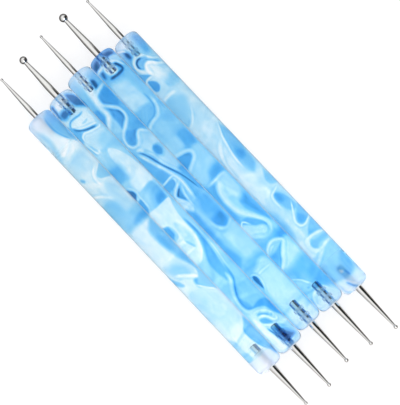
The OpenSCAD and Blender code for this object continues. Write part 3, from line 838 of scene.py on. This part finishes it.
def dress(obj, n, piece, material):
    """Puts a finished object in the place of its CAD node, on its stylus and in its material."""
    node = node_name(n, piece)
    obj.data.materials.append(material)
    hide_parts(node)
    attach(obj, f"stylus_{n}")
    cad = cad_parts[node]
    cad.data.materials.clear()
    cad.data.materials.append(material)


# What a user would change


class HandleLooks(PropertyGroup):
    steps: IntProperty(name="Steps round", description="Faces round a handle", default=144, min=24)
    rings: IntProperty(name="Rings", description="Faces along a handle", default=620, min=40)
    edge: FloatProperty(
        name="Edge rounding", description="Radius of the rounded end", default=1.5 * MM, unit="LENGTH"
    )
    drift: FloatProperty(
        name="Drift", description="How far soft clouds shift the marbling's tone", default=0.5
    )
    lilac: FloatVectorProperty(
        name="Lilac", description="Tint of the pale tones at both ends",
        default=srgb(232, 230, 255)[:3], subtype="COLOR",
    )


class SteelLooks(PropertyGroup):
    steps: IntProperty(name="Steps round", description="Faces round a point", default=64, min=16)
    roughness: FloatProperty(
        name="Roughness", description="Mean roughness of the plating", default=0.07, min=0
    )
    dull: FloatVectorProperty(
        name="Dull", description="Plating where it is smeared", default=(0.84, 0.83, 0.81), subtype="COLOR"
    )
    bright: FloatVectorProperty(
        name="Bright", description="Plating where it is clean", default=(0.95, 0.95, 0.94), subtype="COLOR"
    )


class AdhesiveLooks(PropertyGroup):
    steps: IntProperty(name="Steps round", description="Faces round the adhesive", default=64, min=16)
    bluish: FloatVectorProperty(
        name="Bluish", description="Adhesive at its deepest", default=(0.86, 0.93, 1), subtype="COLOR"
    )
    pale: FloatVectorProperty(
        name="Pale", description="Adhesive at its palest", default=(0.97, 0.99, 1), subtype="COLOR"
    )


class StageLooks(PropertyGroup):
    azimuth: FloatProperty(
        name="Azimuth", description="Camera's bearing", default=math.radians(52.7), subtype="ANGLE"
    )
    elevation: FloatProperty(
        name="Elevation", description="Camera's height", default=math.radians(80), subtype="ANGLE"
    )
    roll: FloatProperty(
        name="Roll", description="Camera's roll", default=math.radians(-5.63), subtype="ANGLE"
    )
    distance: FloatProperty(name="Distance", description="Camera's distance", default=1.5, unit="LENGTH")
    scale: FloatProperty(name="Scale", description="Picture points per millimetre", default=3.6291)
    dome: FloatProperty(name="Dome", description="Strength of the white dome", default=0.95)
    lamp: FloatProperty(name="Lamp", description="Power of the lamp in watts", default=1.0)
    floor: FloatVectorProperty(
        name="Floor", description="The floor as it is lit", default=(0.3, 0.3, 0.31), subtype="COLOR"
    )
    mirrored_left: FloatVectorProperty(
        name="Mirrored left", description="The floor as the left points mirror it",
        default=(0.1, 0.085, 0.075), subtype="COLOR",
    )
    mirrored_right: FloatVectorProperty(
        name="Mirrored right", description="The floor as the right points mirror it",
        default=(0.6, 0.56, 0.52), subtype="COLOR",
    )


# Nodes and materials


def new_material(name):
    """A node material, its node tree and its Principled shader."""
    mat = bpy.data.materials.new(name)
    mat.use_nodes = True
    return mat, mat.node_tree, mat.node_tree.nodes["Principled BSDF"]


def new_group(name, inputs, outputs):
    """A shader node group with sockets of (name, kind), and its input and output nodes."""
    group = bpy.data.node_groups.new(name, "ShaderNodeTree")
    for socket, kind in inputs:
        group.interface.new_socket(socket, in_out="INPUT", socket_type=kind)
    for socket, kind in outputs:
        group.interface.new_socket(socket, in_out="OUTPUT", socket_type=kind)
    return group, group.nodes.new("NodeGroupInput"), group.nodes.new("NodeGroupOutput")


def plug(tree, socket, value):
    """Gives a socket a number, a colour or what another socket puts out."""
    if isinstance(value, bpy.types.NodeSocket):
        tree.links.new(value, socket)
    else:
        socket.default_value = value


def math_node(tree, operation, first, second):
    """A math node with a socket or a number on each side; returns its output."""
    node = tree.nodes.new("ShaderNodeMath")
    node.operation = operation
    for socket, value in zip(node.inputs, (first, second)):
        plug(tree, socket, value)
    return node.outputs[0]


def product(tree, first, *others):
    """All the values multiplied."""
    for other in others:
        first = math_node(tree, "MULTIPLY", first, other)
    return first


def attribute(tree, name):
    """The number that the mesh holds under this name."""
    node = tree.nodes.new("ShaderNodeAttribute")
    node.attribute_name = name
    return node.outputs["Fac"]


def map_range(tree, value, source, target, interpolation="LINEAR"):
    """Maps the value from one (low, high) pair to another."""
    node = tree.nodes.new("ShaderNodeMapRange")
    node.interpolation_type = interpolation
    for name, number in zip(("From Min", "From Max", "To Min", "To Max"), source + target):
        node.inputs[name].default_value = number
    tree.links.new(value, node.inputs["Value"])
    return node.outputs["Result"]


def mixed(tree, share, first, second):
    """A colour between two, at a share of the way to the second."""
    node = tree.nodes.new("ShaderNodeMix")
    node.data_type = "RGBA"
    for name, value in (("Factor", share), ("A", first), ("B", second)):
        plug(tree, node.inputs[name], value)
    return node.outputs["Result"]


def ramp(tree, value, stops):
    """The colour at a value on a ramp of (position, linear colour) stops."""
    node = tree.nodes.new("ShaderNodeValToRGB")
    elements = node.color_ramp.elements
    for position, _ in stops[1:-1]:
        elements.new(position)
    for element, (_, colour) in zip(elements, stops):
        element.color = colour
    tree.links.new(value, node.inputs["Fac"])
    return node.outputs["Color"]


def clouds_group():
    """Noise in object coordinates that can be finer or coarser along the rods; built once."""
    name = "clouds"
    if name in bpy.data.node_groups:
        return bpy.data.node_groups[name]
    noise_inputs = ("Scale", "Detail", "Distortion")
    group, source, sink = new_group(
        name,
        [(socket, "NodeSocketFloat") for socket in noise_inputs + ("Along",)],
        [("Value", "NodeSocketFloat")],
    )
    coords = group.nodes.new("ShaderNodeTexCoord")
    stretch = group.nodes.new("ShaderNodeCombineXYZ")
    stretch.inputs["Y"].default_value = 1
    stretch.inputs["Z"].default_value = 1
    mapping = group.nodes.new("ShaderNodeMapping")
    noise = group.nodes.new("ShaderNodeTexNoise")
    group.links.new(source.outputs["Along"], stretch.inputs["X"])
    group.links.new(stretch.outputs["Vector"], mapping.inputs["Scale"])
    group.links.new(coords.outputs["Object"], mapping.inputs["Vector"])
    group.links.new(mapping.outputs["Vector"], noise.inputs["Vector"])
    for socket in noise_inputs:
        group.links.new(source.outputs[socket], noise.inputs[socket])
    group.links.new(noise.outputs["Fac"], sink.inputs["Value"])
    return group


def clouds(tree, pattern):
    """The value of one of the noise patterns."""
    node = tree.nodes.new("ShaderNodeGroup")
    node.node_tree = clouds_group()
    for name, number in zip(("Scale", "Detail", "Distortion", "Along"), pattern):
        node.inputs[name].default_value = number
    return node.outputs["Value"]


def drift_group():
    """Adds soft clouds and fine wisps to a tone."""
    group, source, sink = new_group(
        "marbling_drift",
        [("Tone", "NodeSocketFloat"), ("Amount", "NodeSocketFloat")],
        [("Tone", "NodeSocketFloat")],
    )
    fine = product(group, clouds(group, FINE_CLOUDS), FINE_SHARE)
    both = math_node(group, "ADD", clouds(group, BROAD_CLOUDS), fine)
    centred = math_node(group, "SUBTRACT", both, NOISE_MEAN * (1 + FINE_SHARE))
    shift = product(group, centred, source.outputs["Amount"])
    tone = math_node(group, "ADD", source.outputs["Tone"], shift)
    group.links.new(tone, sink.inputs["Tone"])
    return group


def acrylic_material(n, drift, looks):
    """Translucent acrylic whose colour runs with the handle's tone."""
    mat, tree, shader = new_material(f"marbled_acrylic_{n}")
    drifted = tree.nodes.new("ShaderNodeGroup")
    drifted.node_tree = drift
    drifted.inputs["Amount"].default_value = looks.drift
    tree.links.new(attribute(tree, "tone"), drifted.inputs["Tone"])
    place = map_range(tree, drifted.outputs["Tone"], (INK, 1), (0, 1))
    tint = ramp(tree, place, [(position, srgb(*colour)) for position, colour in TINTS])
    # Only the pale tones turn lilac towards the ends.
    paleness = math_node(tree, "POWER", place, LILAC_POWER)
    share = product(tree, attribute(tree, "lilac"), paleness, LILAC_SHARE)
    plug(tree, shader.inputs["Base Color"], mixed(tree, share, tint, (*looks.lilac, 1)))
    rough = map_range(tree, attribute(tree, "haze"), (0, 1), ACRYLIC_ROUGHNESS)
    plug(tree, shader.inputs["Roughness"], rough)
    shader.inputs["Transmission Weight"].default_value = CLEARNESS[n]
    shader.inputs["IOR"].default_value = ACRYLIC_IOR
    shader.inputs["Specular IOR Level"].default_value = ACRYLIC_SPECULAR
    return mat


def steel_material(looks):
    """Bright plating with faint smears and turning marks."""
    mat, tree, shader = new_material("plated_steel")
    smear = clouds(tree, SMEARS)
    colour = ramp(tree, smear, ((0, (*looks.dull, 1)), (1, (*looks.bright, 1))))
    plug(tree, shader.inputs["Base Color"], colour)
    plug(tree, shader.inputs["Roughness"], product(tree, smear, looks.roughness / NOISE_MEAN))
    bump = tree.nodes.new("ShaderNodeBump")
    bump.inputs["Strength"].default_value = MARK_STRENGTH
    bump.inputs["Distance"].default_value = MARK_DEPTH
    plug(tree, bump.inputs["Height"], clouds(tree, TURNING_MARKS))
    plug(tree, shader.inputs["Normal"], bump.outputs["Normal"])
    shader.inputs["Metallic"].default_value = 1
    return mat


def adhesive_material(looks):
    """Cured adhesive: milky at the bead and in the grooves, and elsewhere only a thin haze."""
    mat, tree, shader = new_material("clear_adhesive")
    colour = ramp(tree, clouds(tree, GLUE_WISPS), ((0, (*looks.bluish, 1)), (1, (*looks.pale, 1))))
    plug(tree, shader.inputs["Base Color"], colour)
    milk = attribute(tree, "milk")
    plug(tree, shader.inputs["Roughness"], product(tree, milk, GLUE_ROUGHNESS))
    plug(tree, shader.inputs["Alpha"], map_range(tree, milk, (0, 1), (FILM_COVER, 1)))
    shader.inputs["Transmission Weight"].default_value = GLUE_CLEARNESS
    shader.inputs["IOR"].default_value = GLUE_IOR
    return mat


# The pieces


def rod_profile(edge, rings):
    """Outline of a handle in metres about its middle. Its bores are full, so the glassy rod is solid."""
    half, radius = ROD_L / 2 * MM, ROD_R * MM
    body = half - edge
    profile = [(-half, 0)]
    profile += arc(-body, radius - edge, edge, 180, 90, EDGE_PARTS)
    profile += spread((-body, radius), (body, radius), rings)
    profile += arc(body, radius - edge, edge, 90, 0, EDGE_PARTS)
    return profile + [(half, 0)]


class STYLUS_OT_handles(Operator):
    """Build the five marbled handles"""

    bl_idname = "stylus.handles"
    bl_label = "Handles"

    def execute(self, context):
        looks = context.scene.handle_looks
        rings = looks.rings
        steps = looks.steps
        drift = drift_group()
        rod = lathe(rod_profile(looks.edge, rings), steps)
        for n in STYLUSES:
            low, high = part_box(node_name(n, "handle"))
            obj = mesh_object(f"handle_{n}", moved(rod, (low + high) / 2))
            face, _ = end_face(n, "left")
            x, y, z = places(obj, face).T
            sawn = SAWN_HAZE * near_end(x, looks.edge / MM)
            set_attribute(obj, "tone", handle_tone(n, x, y, z))
            set_attribute(obj, "lilac", near_end(x, LILAC_L))
            set_attribute(obj, "haze", np.maximum(sawn, handle_haze(n, x)))
            dress(obj, n, "handle", acrylic_material(n, drift, looks))
        rod.free()
        return {"FINISHED"}


def turned_piece(n, side, piece, outline, steps):
    """A turned piece of stylus n, from an outline of (distance out of the handle, radius) in millimetres."""
    face, out = end_face(n, side)
    turned = lathe([(out * z * MM, r * MM) for z, r in outline], steps)
    obj = mesh_object(f"{side}_{piece}_{n}", moved(turned, face))
    turned.free()
    return obj


def groove_starts(tang):
    """Where each ring groove starts, from the tang's inner end to the handle's mouth."""
    count = int((tang + BEAD_H - 2 * GROOVE_W) // GROOVE_PITCH) + 1
    return [BEAD_H - GROOVE_W - k * GROOVE_PITCH for k in reversed(range(count))]


def point_profile(n, side):
    """Outline of a steel point in millimetres: distance out of the handle, and radius."""
    kind = point_kind(n, side)
    reach, tang = reach_and_tang(n, side)
    shank_r, neck_r, straight = kind["shank"] / 2, kind["neck"] / 2, kind["straight"]
    ball_r = BALLS[side][n - 1] / 2
    ball_z = reach - ball_r
    outline = [(-tang, 0), (-tang, shank_r - TANG_CHAMFER), (TANG_CHAMFER - tang, shank_r)]
    floor_r = shank_r - GROOVE_DEPTH
    for start in groove_starts(tang):
        end = start + GROOVE_W
        outline += [(start, shank_r), (start, floor_r), (end, floor_r), (end, shank_r)]
    outline.append((straight, shank_r))
    # The cone runs on into the ball through a small fillet.
    turn = math.asin(neck_r / ball_r)
    foot = (ball_z - ball_r * math.cos(turn), neck_r)
    before = foot[0] - FILLET_REACH * ball_r
    share = (before - straight) / (ball_z - straight)
    cone_end = (before, shank_r + (neck_r - shank_r) * share)
    ball = arc(ball_z, 0, ball_r, 180 - math.degrees(turn) - FILLET_TURN, 0, BALL_PARTS)
    outline += spread((straight, shank_r), cone_end, CONE_PARTS)
    outline += bent(cone_end, foot, ball[0], FILLET_PARTS)[:-1]
    return outline + ball


class STYLUS_OT_points(Operator):
    """Build the ten steel points"""

    bl_idname = "stylus.points"
    bl_label = "Points"

    def execute(self, context):
        looks = context.scene.steel_looks
        steel = steel_material(looks)
        for n, side in ENDS:
            obj = turned_piece(n, side, "point", point_profile(n, side), looks.steps)
            dress(obj, n, f"{side}_point", steel)
        return {"FINISHED"}


def adhesive_profile(n, side):
    """Outline of the adhesive in millimetres, from its plug to the bead and back inside the steel."""
    _, tang = reach_and_tang(n, side)
    shank_r = point_kind(n, side)["shank"] / 2
    outer = shank_r + FILM + GRIP
    inner = shank_r - GROOVE_DEPTH - GRIP
    plug_end = -tang - PLUG_L - GRIP
    outline = [(plug_end, 0), (plug_end, outer)]
    for start in groove_starts(tang)[:-1]:
        end = start + GROOVE_W
        outline += [(z, outer) for z in (start - GROOVE_FADE, start, end, end + GROOVE_FADE)]
    outline += [(-MOUTH_FADE, outer), (-GRIP, outer), (-GRIP, shank_r + BEAD_W)]
    corner = (BEAD_CORNER[0], shank_r + BEAD_CORNER[1])
    outline += bent((0, shank_r + BEAD_W), corner, (BEAD_H, shank_r), BEAD_PARTS)
    return outline + [(BEAD_H, inner), (HIDDEN_END - tang, inner), (HIDDEN_END - tang, 0)]


def milkiness(z, tang):
    """How milky the adhesive is at z millimetres out of the handle."""
    if z > -MOUTH_FADE / 2:
        return BEAD_MILK
    grooves = groove_starts(tang)[:-1]
    in_groove = any(start - GRIP < z < start + GROOVE_W + GRIP for start in grooves)
    return GROOVE_MILK if in_groove else 0.0


class STYLUS_OT_adhesive(Operator):
    """Build the cured adhesive round the ten tangs"""

    bl_idname = "stylus.adhesive"
    bl_label = "Adhesive"

    def execute(self, context):
        looks = context.scene.adhesive_looks
        glue = adhesive_material(looks)
        for n, side in ENDS:
            obj = turned_piece(n, side, "adhesive", adhesive_profile(n, side), looks.steps)
            face, out = end_face(n, side)
            _, tang = reach_and_tang(n, side)
            depths = out * places(obj, face)[:, 0]
            set_attribute(obj, "milk", [milkiness(z, tang) for z in depths])
            dress(obj, n, f"{side}_adhesive", glue)
        return {"FINISHED"}


# The stage


def floor_material(looks):
    """Grey floor that the camera and glass see as white but for its shadows, and mirrors as darker."""
    mat, tree, shader = new_material("floor")
    path = tree.nodes.new("ShaderNodeLightPath")
    coords = tree.nodes.new("ShaderNodeTexCoord")
    split = tree.nodes.new("ShaderNodeSeparateXYZ")
    tree.links.new(coords.outputs["Object"], split.inputs[0])
    # The mirrored floor is darker beside the left points than beside the right ones.
    side = map_range(tree, split.outputs["X"], FLOOR_TURN, (0, 1))
    mirrored = mixed(tree, side, (*looks.mirrored_left, 1), (*looks.mirrored_right, 1))
    base = mixed(tree, path.outputs["Is Glossy Ray"], (*looks.floor, 1), mirrored)
    plug(tree, shader.inputs["Base Color"], base)
    camera = product(tree, path.outputs["Is Camera Ray"], FLOOR_LIFT)
    lift = math_node(tree, "MAXIMUM", camera, path.outputs["Is Transmission Ray"])
    plug(tree, shader.inputs["Emission Color"], lift)
    shader.inputs["Emission Strength"].default_value = 1
    shader.inputs["Roughness"].default_value = FLOOR_ROUGHNESS
    return mat


def band(tree, value, rise, fall):
    """Rises softly from 0 to 1 over one pair of values and falls back over the other."""
    up = map_range(tree, value, rise, (0, 1), "SMOOTHSTEP")
    down = map_range(tree, value, fall, (1, 0), "SMOOTHSTEP")
    return product(tree, up, down)


def heights(low, high):
    """Heights on the unit dome for two elevations in degrees."""
    return math.sin(math.radians(low)), math.sin(math.radians(high))


def studio_world(strength):
    """White dome with soft dark flags that only rays from a mirror see."""
    world = bpy.data.worlds.new("studio")
    world.use_nodes = True
    tree = world.node_tree
    coords = tree.nodes.new("ShaderNodeTexCoord")
    split = tree.nodes.new("ShaderNodeSeparateXYZ")
    path = tree.nodes.new("ShaderNodeLightPath")
    tree.links.new(coords.outputs["Generated"], split.inputs[0])
    x, y, z = split.outputs
    front = band(tree, y, FLAG_Y, BEYOND)
    flags = 0.0
    for left, right, top in FLAGS:
        flag = product(tree, band(tree, x, left, right), band(tree, z, BELOW, heights(*top)), front)
        flags = math_node(tree, "MAXIMUM", flags, flag)
    horizon = band(tree, z, BELOW, heights(*HORIZON))
    grey = product(tree, horizon, map_range(tree, x, HORIZON_X, HORIZON_GREY))
    bare = math_node(tree, "MAXIMUM", flags, grey)
    left, right, foot, top = TANG_FLAG
    cased = product(tree, band(tree, x, left, right), band(tree, z, heights(*foot), heights(*top)), front)
    in_acrylic = math_node(tree, "GREATER_THAN", path.outputs["Transmission Depth"], 0.5)
    outside = math_node(tree, "SUBTRACT", 1, in_acrylic)
    dark = math_node(tree, "ADD", product(tree, bare, outside), product(tree, cased, in_acrylic))
    in_mirror = math_node(tree, "GREATER_THAN", path.outputs["Glossy Depth"], 0.5)
    bright = math_node(tree, "SUBTRACT", 1, product(tree, dark, in_mirror, FLAG_DARKNESS))
    # The camera itself sees plain white.
    level = math_node(tree, "MAXIMUM", product(tree, bright, strength), path.outputs["Is Camera Ray"])
    back = tree.nodes["Background"]
    back.inputs["Color"].default_value = (1, 1, 1, 1)
    plug(tree, back.inputs["Strength"], level)
    return world


def lay_floor(looks):
    """A wide floor just under the rods."""
    bm = bmesh.new()
    bmesh.ops.create_grid(bm, x_segments=1, y_segments=1, size=FLOOR_HALF)
    bmesh.ops.translate(bm, verts=bm.verts, vec=(0, 0, -FLOOR_DROP))
    floor = mesh_object("floor", bm)
    floor.data.materials.append(floor_material(looks))


def hang_lamp(power):
    """A soft round lamp that looks at the middle of the row."""
    light = bpy.data.lights.new("key", "AREA")
    light.shape = "DISK"
    light.size = LAMP_W
    light.energy = power
    lamp = bpy.data.objects.new("key", light)
    lamp.location = LAMP_PLACE
    lamp.rotation_euler = (-LAMP_PLACE).to_track_quat("-Z", "Y").to_euler()
    bpy.context.collection.objects.link(lamp)


def set_camera(scene, looks):
    """The photo's camera."""
    camera = bpy.data.cameras.new("camera")
    camera.sensor_width = SENSOR_W
    focal = looks.scale * looks.distance / MM
    camera.lens = focal / max(PHOTO_W, PHOTO_H) * camera.sensor_width
    camera.clip_start = CLIP_START
    camera.clip_end = CLIP_END
    obj = bpy.data.objects.new("camera", camera)
    a, e = looks.azimuth, looks.elevation
    back = Vector((math.sin(a) * math.cos(e), -math.cos(a) * math.cos(e), math.sin(e)))
    obj.location = AIM * MM + back * looks.distance
    turn = (-back).to_track_quat("-Z", "Y")
    obj.rotation_mode = "QUATERNION"
    obj.rotation_quaternion = turn @ Matrix.Rotation(looks.roll, 4, "Z").to_quaternion()
    bpy.context.collection.objects.link(obj)
    scene.camera = obj


class STYLUS_OT_stage(Operator):
    """Set the floor, the lamp, the dome and the camera"""

    bl_idname = "stylus.stage"
    bl_label = "Stage"

    def execute(self, context):
        scene = context.scene
        looks = scene.stage_looks
        lay_floor(looks)
        hang_lamp(looks.lamp)
        set_camera(scene, looks)
        scene.world = studio_world(looks.dome)
        scene.view_settings.view_transform = "Standard"
        return {"FINISHED"}


# The add-on


class STYLUS_PT_panel(Panel):
    """Lists the builders in the sidebar"""

    bl_label = "Styluses"
    bl_idname = "STYLUS_PT_panel"
    bl_space_type = "VIEW_3D"
    bl_region_type = "UI"
    bl_category = "Styluses"

    def draw(self, context):
        for operator in OPERATORS:
            self.layout.operator(operator.bl_idname)


OPERATORS = (STYLUS_OT_stage, STYLUS_OT_handles, STYLUS_OT_points, STYLUS_OT_adhesive)
LOOKS = {
    "handle_looks": HandleLooks,
    "steel_looks": SteelLooks,
    "adhesive_looks": AdhesiveLooks,
    "stage_looks": StageLooks,
}
CLASSES = (*LOOKS.values(), *OPERATORS, STYLUS_PT_panel)


def register():
    for cls in CLASSES:
        bpy.utils.register_class(cls)
    for name, cls in LOOKS.items():
        setattr(bpy.types.Scene, name, PointerProperty(type=cls))


def unregister():
    for name in LOOKS:
        delattr(bpy.types.Scene, name)
    for cls in reversed(CLASSES):
        bpy.utils.unregister_class(cls)


def main():
    register()
    bpy.ops.stylus.stage()
    bpy.ops.stylus.handles()
    bpy.ops.stylus.points()
    bpy.ops.stylus.adhesive()


if __name__ == "__main__":
    main()
